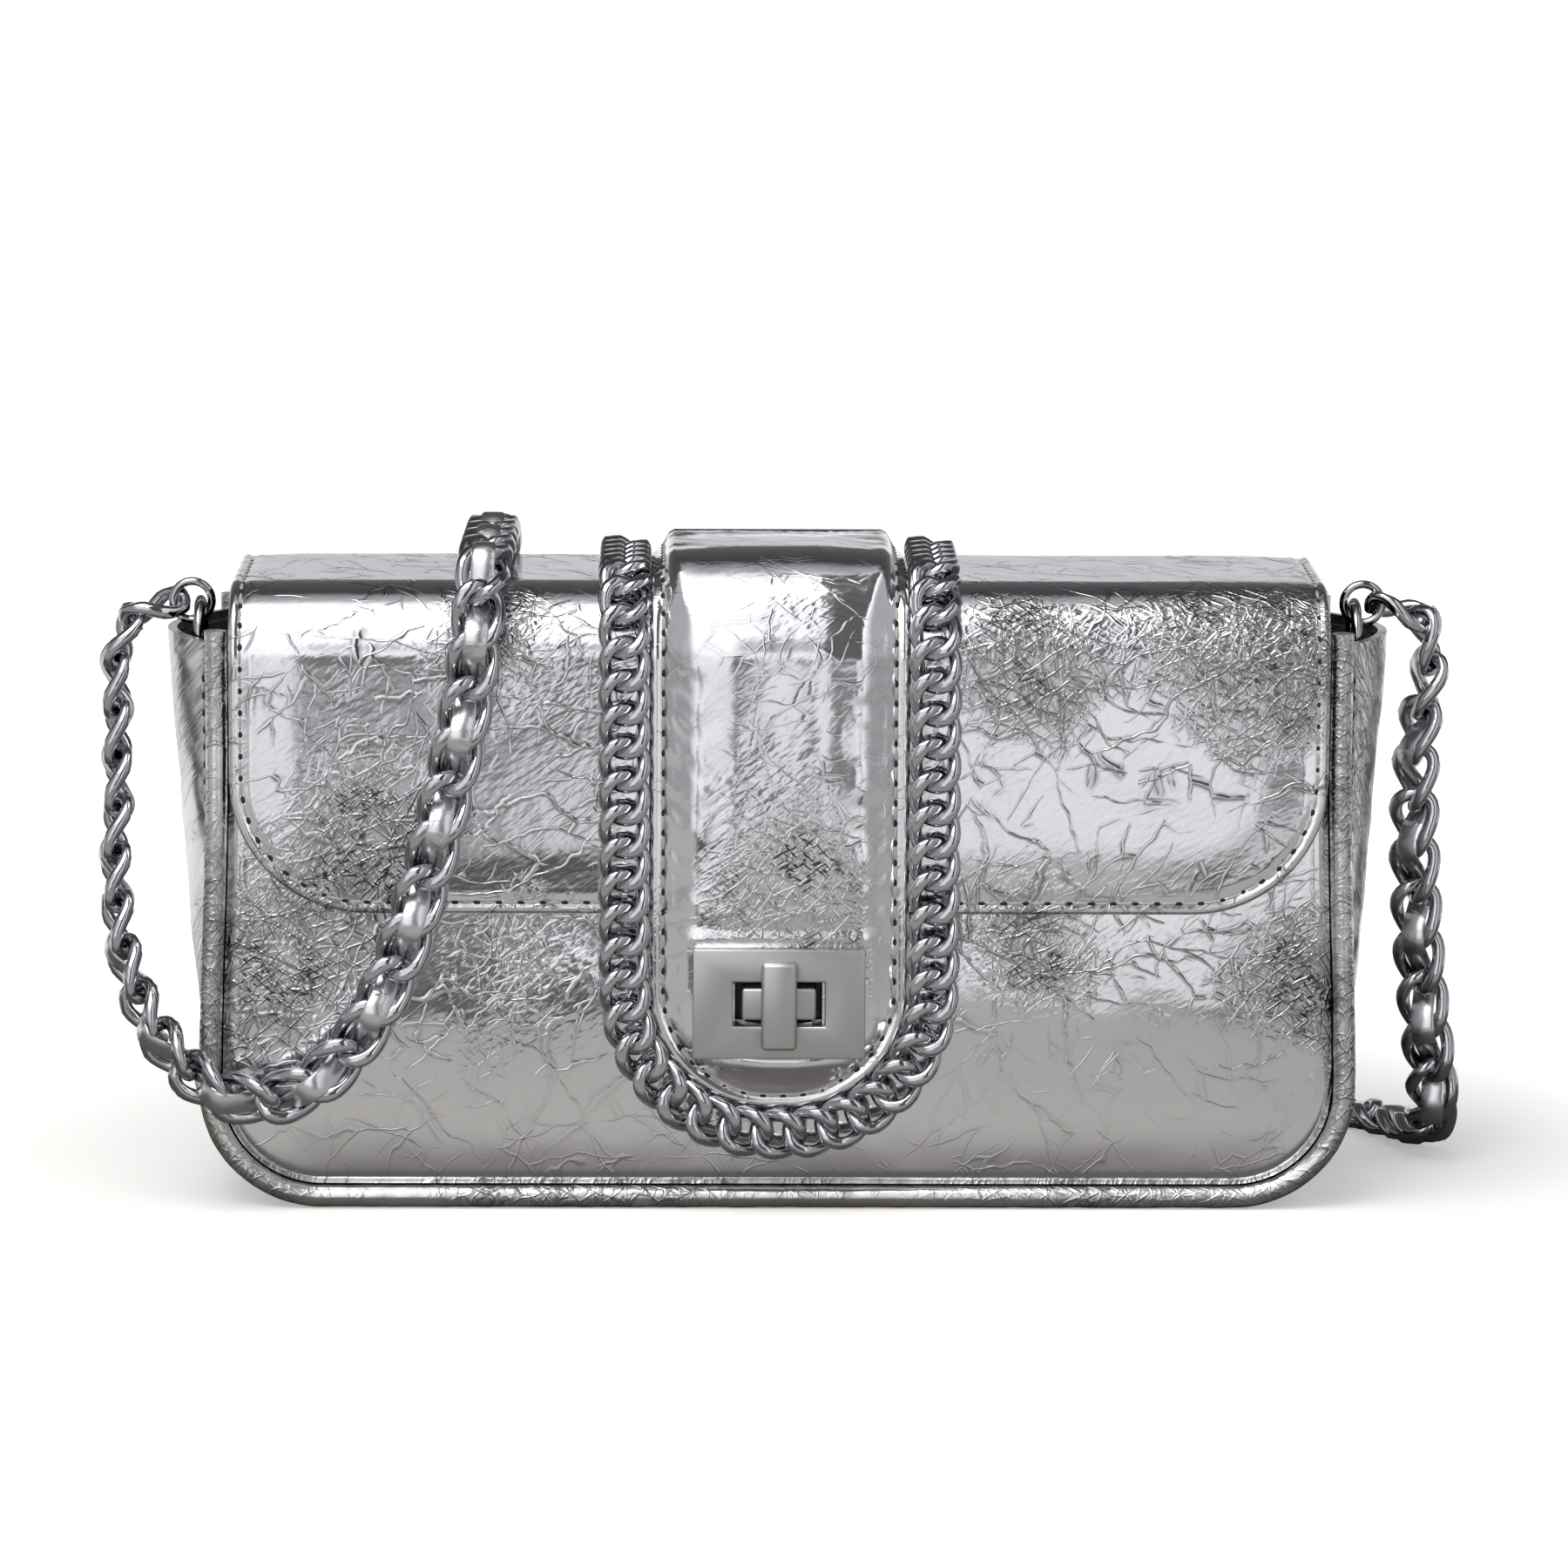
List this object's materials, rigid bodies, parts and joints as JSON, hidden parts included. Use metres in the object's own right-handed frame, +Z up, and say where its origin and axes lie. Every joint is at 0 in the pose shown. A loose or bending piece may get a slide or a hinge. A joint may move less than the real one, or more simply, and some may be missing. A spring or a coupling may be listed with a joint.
{
  "type": "chain shoulder bag",
  "caption": "Small flap bag in crackled silver leather with a chain-edged padded tab, a turn lock and a laced chain shoulder strap.",
  "frame": {"origin": "middle of the flat base, on the surface that the bag stands on", "axes": "+X along the bag to the right as seen from the front, +Y to the back, +Z up; the front with the lock faces -Y"},
  "size_m": [0.2989, 0.1618, 0.1457],
  "materials": {
    "silver_foil": "crackled metallic foil on leather, glossy",
    "black_cloth": "matte woven cloth",
    "board": "plain pressed board",
    "wadding": "soft wadding",
    "satin_nickel": "satin nickel plate",
    "dark_nickel": "polished dark nickel",
    "lace_leather": "smooth silver-grey leather, satin"
  },
  "bodies": {
    "bag": {"front_panel": "silver_foil", "back_panel": "silver_foil", "gusset": "silver_foil", "piping_front": "silver_foil", "piping_back": "silver_foil", "chape_left": "silver_foil", "chape_right": "silver_foil", "lining": "black_cloth", "front_board": "board", "back_board": "board", "base_board": "board", "lock_base": "satin_nickel", "lock_washer": "satin_nickel", "detent_spring": "satin_nickel", "strap_links_left": "dark_nickel", "strap_lace_left": "lace_leather", "strap_links_front": "dark_nickel", "strap_lace_front": "lace_leather", "strap_links_back": "dark_nickel", "strap_lace_back": "lace_leather"},
    "flap": {"flap_leather": "silver_foil", "flap_lining": "black_cloth", "tab_backing": "silver_foil", "tab_pad": "wadding", "tab_leather": "silver_foil", "tab_trim_chain": "dark_nickel", "lock_plate": "satin_nickel", "lock_backing_plate": "satin_nickel"},
    "knob": {"turn_knob": "satin_nickel", "knob_clip": "satin_nickel"},
    "ring_left": {"d_ring_left": "dark_nickel", "joining_ring_left": "dark_nickel"},
    "ring_right": {"d_ring_right": "dark_nickel", "joining_ring_right": "dark_nickel"}
  },
  "joints": [
    {"name": "flap_hinge", "type": "hinge", "parent": "bag", "child": "flap", "pos_m": [0, 0.028, 0.1275], "axis": [-1, 0, 0], "range_deg": [0, 115], "deforming": ["strap_links_front", "strap_lace_front"]},
    {"name": "knob_turn", "type": "hinge", "parent": "bag", "child": "knob", "pos_m": [0, -0.04, 0.047], "axis": [0, 1, 0], "range_deg": [0, 90]},
    {"name": "ring_left_swing", "type": "hinge", "parent": "bag", "child": "ring_left", "pos_m": [-0.12492, 0, 0.1154], "axis": [0, 1, 0], "range_deg": [0, 60], "deforming": ["strap_links_left", "strap_lace_left"]},
    {"name": "ring_right_swing", "type": "hinge", "parent": "bag", "child": "ring_right", "pos_m": [0.12492, 0, 0.1154], "axis": [0, -1, 0], "range_deg": [0, 60], "deforming": ["strap_links_back", "strap_lace_back"]}
  ]
}
